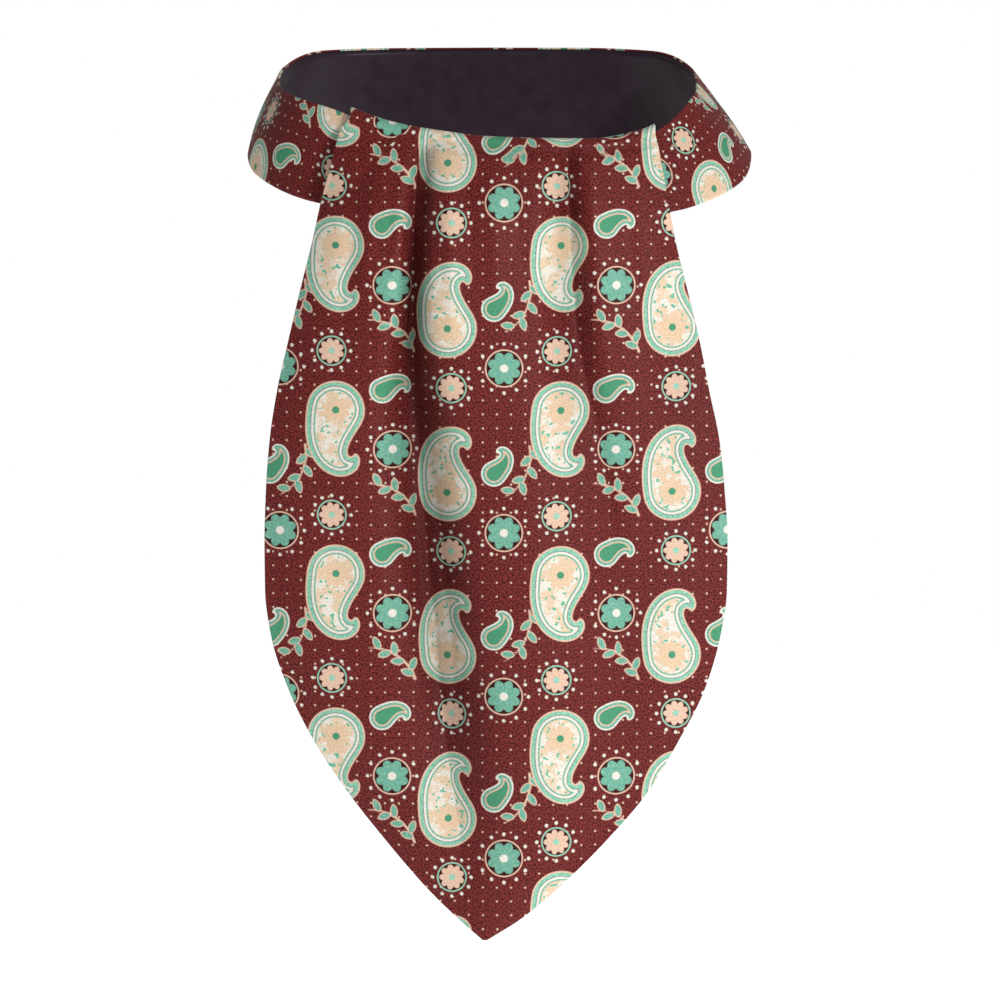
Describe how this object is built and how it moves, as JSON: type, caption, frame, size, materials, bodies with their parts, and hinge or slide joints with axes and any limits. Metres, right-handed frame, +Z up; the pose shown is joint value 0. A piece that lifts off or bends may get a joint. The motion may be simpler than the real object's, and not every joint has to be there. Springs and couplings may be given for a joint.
{
  "type": "silk cravat",
  "caption": "Silk day cravat, tied round an unseen neck: flared printed band with a plum lining and a wide pleated blade that falls to a point.",
  "frame": {"origin": "centre of the neck opening, at the height of the band's rim at the sides", "axes": "+Z up along the wearer's neck, -Y towards the front where the blade hangs, +X to the viewer's right"},
  "size_m": [0.1726, 0.1473, 0.2989],
  "materials": {
    "printed_silk": "fine twill silk printed with green, cream and peach paisley on maroon, soft sheen",
    "plum_satin": "dark plum satin lining, low sheen"
  },
  "bodies": {
    "root": {"neckband": "printed_silk", "neckband_lining": "plum_satin", "wing_left": "printed_silk", "wing_right": "printed_silk", "front_blade": "printed_silk", "under_blade": "printed_silk"}
  },
  "joints": []
}
